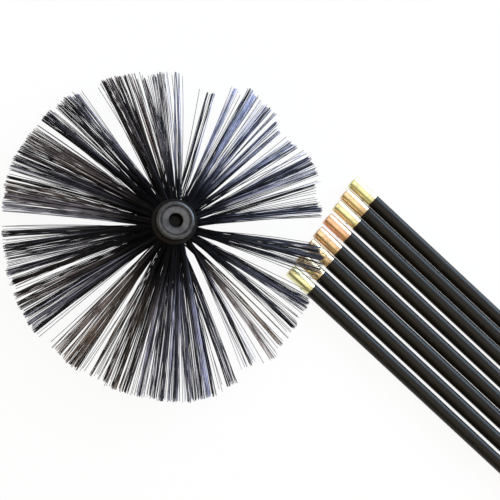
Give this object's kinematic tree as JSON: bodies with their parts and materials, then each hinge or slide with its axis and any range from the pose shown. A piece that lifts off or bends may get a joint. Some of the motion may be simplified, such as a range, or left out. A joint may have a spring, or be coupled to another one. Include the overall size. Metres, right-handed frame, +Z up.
{
  "type": "chimney sweep brush",
  "caption": "Round chimney sweeping brush head with raked black bristles and a brass socket, beside a row of black screw-together rods with brass ends.",
  "frame": {"origin": "centre of the whole set's box, on the floor that the head and the rods stand on", "axes": "+Z up, along the head's axis towards its nose; +X along the rods, away from the head; +Y across the row of rods"},
  "size_m": [1.2836, 0.4435, 0.1037],
  "materials": {
    "bristle_plastic": "stiff black monofilament with a bluish sheen",
    "hub_plastic": "dark grey satin moulding",
    "rod_plastic": "black satin extruded rod",
    "brass": "turned brass, a little tarnished",
    "steel": "dull steel pins and fasteners"
  },
  "bodies": {
    "brush_head": {"bristle_ring_bottom": "bristle_plastic", "bristle_ring_middle": "bristle_plastic", "bristle_ring_top": "bristle_plastic", "head_ferrule": "brass", "head_pin_1": "steel", "head_pin_2": "steel", "hub_base": "hub_plastic", "hub_nose": "hub_plastic", "tie_bolt": "steel", "tie_nut": "steel", "tie_washer": "steel"},
    "rod_1": {"rod_1_shaft": "rod_plastic", "rod_1_socket_ferrule": "brass", "rod_1_socket_pin": "steel", "rod_1_stud_ferrule": "brass", "rod_1_stud_pin": "steel"},
    "rod_2": {"rod_2_shaft": "rod_plastic", "rod_2_socket_ferrule": "brass", "rod_2_socket_pin": "steel", "rod_2_stud_ferrule": "brass", "rod_2_stud_pin": "steel"},
    "rod_3": {"rod_3_shaft": "rod_plastic", "rod_3_socket_ferrule": "brass", "rod_3_socket_pin": "steel", "rod_3_stud_ferrule": "brass", "rod_3_stud_pin": "steel"},
    "rod_4": {"rod_4_shaft": "rod_plastic", "rod_4_socket_ferrule": "brass", "rod_4_socket_pin": "steel", "rod_4_stud_ferrule": "brass", "rod_4_stud_pin": "steel"},
    "rod_5": {"rod_5_shaft": "rod_plastic", "rod_5_socket_ferrule": "brass", "rod_5_socket_pin": "steel", "rod_5_stud_ferrule": "brass", "rod_5_stud_pin": "steel"},
    "rod_6": {"rod_6_shaft": "rod_plastic", "rod_6_socket_ferrule": "brass", "rod_6_socket_pin": "steel", "rod_6_stud_ferrule": "brass", "rod_6_stud_pin": "steel"},
    "rod_7": {"rod_7_shaft": "rod_plastic", "rod_7_socket_ferrule": "brass", "rod_7_socket_pin": "steel", "rod_7_stud_ferrule": "brass", "rod_7_stud_pin": "steel"},
    "rod_8": {"rod_8_shaft": "rod_plastic", "rod_8_socket_ferrule": "brass", "rod_8_socket_pin": "steel", "rod_8_stud_ferrule": "brass", "rod_8_stud_pin": "steel"}
  },
  "joints": [
    {"name": "rod_1_draw", "type": "slide", "parent": "brush_head", "child": "rod_1", "axis": [1, 0, 0], "range_m": [0, 0.95]},
    {"name": "rod_2_draw", "type": "slide", "parent": "brush_head", "child": "rod_2", "axis": [1, 0, 0], "range_m": [0, 0.95]},
    {"name": "rod_3_draw", "type": "slide", "parent": "brush_head", "child": "rod_3", "axis": [1, 0, 0], "range_m": [0, 0.95]},
    {"name": "rod_4_draw", "type": "slide", "parent": "brush_head", "child": "rod_4", "axis": [1, 0, 0], "range_m": [0, 0.95]},
    {"name": "rod_5_draw", "type": "slide", "parent": "brush_head", "child": "rod_5", "axis": [1, 0, 0], "range_m": [0, 0.95]},
    {"name": "rod_6_draw", "type": "slide", "parent": "brush_head", "child": "rod_6", "axis": [1, 0, 0], "range_m": [0, 0.95]},
    {"name": "rod_7_draw", "type": "slide", "parent": "brush_head", "child": "rod_7", "axis": [1, 0, 0], "range_m": [0, 0.95]},
    {"name": "rod_8_draw", "type": "slide", "parent": "brush_head", "child": "rod_8", "axis": [1, 0, 0], "range_m": [0, 0.95]}
  ]
}
